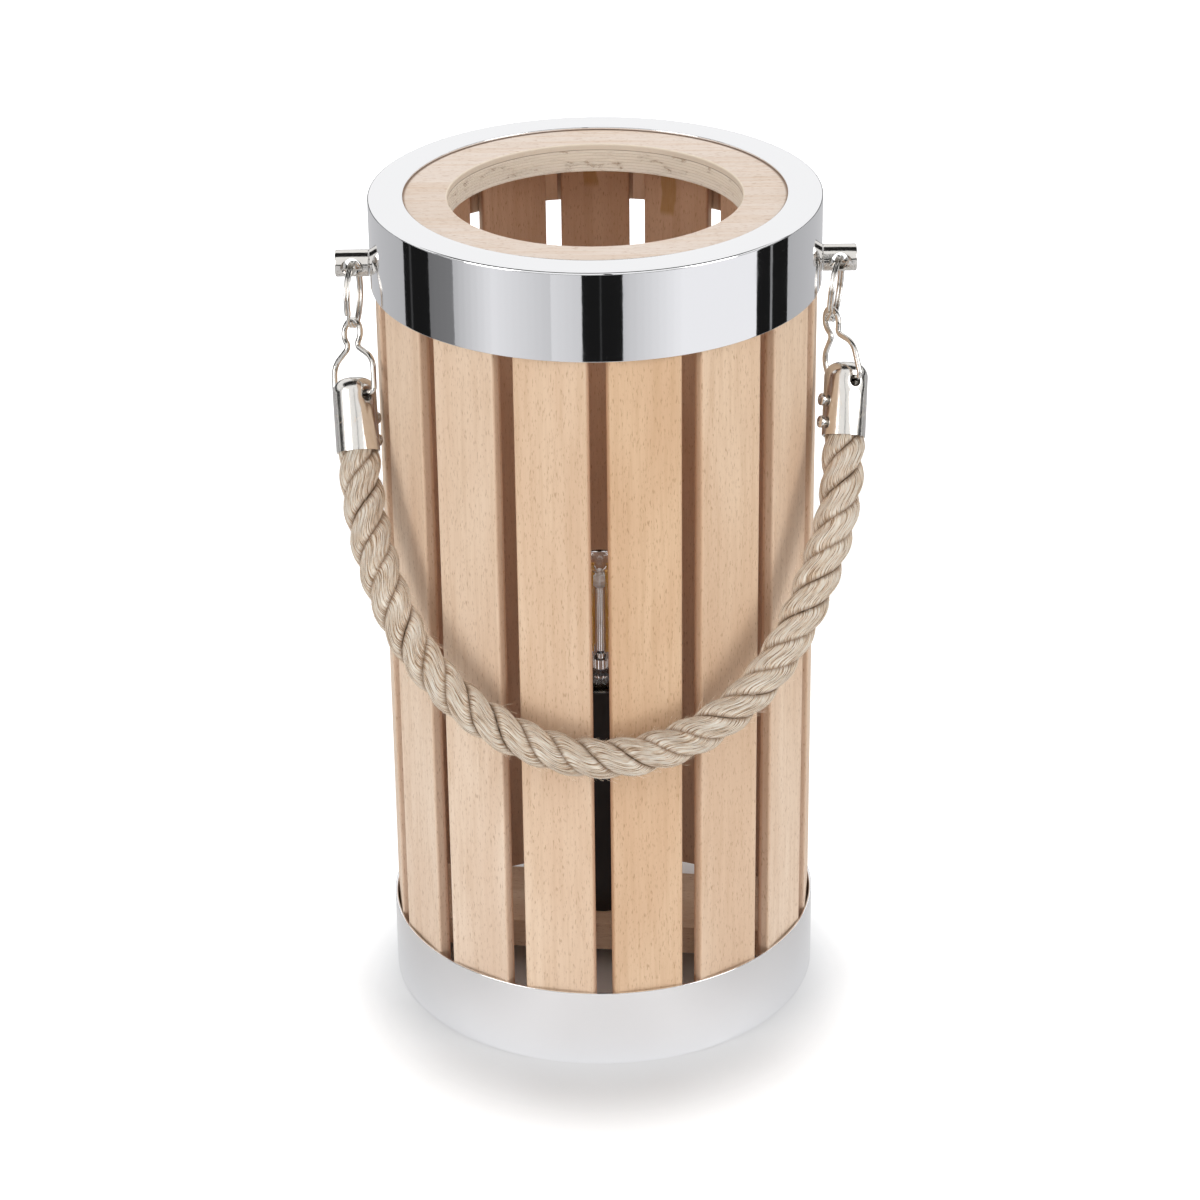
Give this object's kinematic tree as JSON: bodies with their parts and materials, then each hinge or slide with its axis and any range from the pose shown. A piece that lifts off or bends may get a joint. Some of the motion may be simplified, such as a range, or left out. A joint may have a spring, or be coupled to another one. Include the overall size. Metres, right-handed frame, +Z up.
{
  "type": "lantern table lamp",
  "caption": "Cylindrical lantern table lamp: cage of flat beech slats between two polished bands, open top, candle lampholder on a crossbar, hanging rope handle.",
  "frame": {"origin": "on the table at the cage's axis", "axes": "+Z up, +Y to the back, the rope handle hangs in front at -Y, and the two posts lie along X"},
  "size_m": [0.2382, 0.2172, 0.39],
  "materials": {
    "amber_phosphor": "amber phosphor coating",
    "bar_beech": "planed beech",
    "black_bakelite": "moulded black thermoset",
    "black_glass": "black insulator",
    "black_nylon": "moulded black nylon",
    "black_sleeve": "smooth black sleeve",
    "cap_nickel": "nickel-plated thin sheet",
    "clear_glass": "clear blown glass",
    "contact_tin": "solder-tinned",
    "driver_board": "small circuit board",
    "facing_beech": "sanded beech with eased inner edge",
    "ferrule_nickel": "polished nickel plate",
    "ferrule_screw_nickel": "nickel-plated screws",
    "holder_zinc": "zinc-plated steel",
    "jute_rope": "three-strand natural fibre rope",
    "lead_wire": "thin nickel wire",
    "milky_bead": "milky white bead",
    "plywood": "raw plywood edge",
    "polished_band": "mirror-polished steel sheet",
    "post_nickel": "polished nickel plate",
    "ring_nickel": "polished nickel plate",
    "screw_steel": "zinc-plated steel",
    "shackle_nickel": "polished nickel plate",
    "slat_beech": "planed, unvarnished beech",
    "socket_brass": "stamped brass",
    "zinc_nut": "zinc-plated steel",
    "zinc_washer": "zinc-plated steel"
  },
  "bodies": {
    "cage": {"top_band": "polished_band", "facing_ring": "facing_beech", "plywood_hoop": "plywood", "slat_01": "slat_beech", "slat_02": "slat_beech", "slat_03": "slat_beech", "slat_04": "slat_beech", "slat_05": "slat_beech", "slat_06": "slat_beech", "slat_07": "slat_beech", "slat_08": "slat_beech", "slat_09": "slat_beech", "slat_10": "slat_beech", "slat_11": "slat_beech", "slat_12": "slat_beech", "slat_13": "slat_beech", "slat_14": "slat_beech", "slat_15": "slat_beech", "bottom_band": "polished_band", "crossbar": "bar_beech", "crossbar_screws": "screw_steel", "holder_tube": "holder_zinc", "holder_nuts": "holder_zinc", "holder_washers": "holder_zinc", "cord_gland": "black_nylon", "socket_body": "black_bakelite", "socket_shell": "socket_brass", "socket_contact": "socket_brass", "terminal_screws": "socket_brass", "candle_sleeve": "black_sleeve", "post_washers": "zinc_washer"},
    "bulb": {"bulb_cap": "cap_nickel", "bulb_insulator": "black_glass", "bulb_contact": "contact_tin", "bulb_driver": "driver_board", "bulb_glass": "clear_glass", "bulb_stem": "clear_glass", "filament_support": "milky_bead", "filaments": "amber_phosphor", "filament_wires": "lead_wire"},
    "post_turn_left": {"post_left": "post_nickel", "post_nut_left": "zinc_nut"},
    "post_turn_right": {"post_right": "post_nickel", "post_nut_right": "zinc_nut"},
    "ring_left": {"split_ring_left": "ring_nickel"},
    "ring_right": {"split_ring_right": "ring_nickel"},
    "handle": {"shackle_left": "shackle_nickel", "ferrule_left": "ferrule_nickel", "shackle_right": "shackle_nickel", "ferrule_right": "ferrule_nickel", "ferrule_screws": "ferrule_screw_nickel", "rope": "jute_rope"}
  },
  "joints": [
    {"name": "handle_swing", "type": "hinge", "parent": "cage", "child": "handle", "pos_m": [-0.1078, 0, 0.3574], "axis": [-1, 0, 0], "range_deg": [0, 300.87]},
    {"name": "post_left_turn", "type": "hinge", "parent": "cage", "child": "post_turn_left", "pos_m": [-0.1078, 0, 0.3574], "axis": [-1, 0, 0], "range_deg": [0, 300.87]},
    {"name": "post_right_turn", "type": "hinge", "parent": "cage", "child": "post_turn_right", "pos_m": [0.1078, 0, 0.3574], "axis": [-1, 0, 0], "range_deg": [0, 300.87]},
    {"name": "ring_left_spin", "type": "hinge", "parent": "handle", "child": "ring_left", "pos_m": [-0.1078, -0.00223, 0.34332], "axis": [0.989, -0.146, 0.0231], "continuous": true},
    {"name": "ring_right_spin", "type": "hinge", "parent": "handle", "child": "ring_right", "pos_m": [0.10631, -0.00222, 0.3434], "axis": [0.9728, -0.2213, -0.0685], "continuous": true},
    {"name": "bulb_lift", "type": "slide", "parent": "cage", "child": "bulb", "axis": [0, 0, 1], "range_m": [0, 0.28]}
  ],
  "couplings": [
    {"joint": "post_left_turn", "follows": "handle_swing", "ratio": 1},
    {"joint": "post_right_turn", "follows": "handle_swing", "ratio": 1}
  ]
}
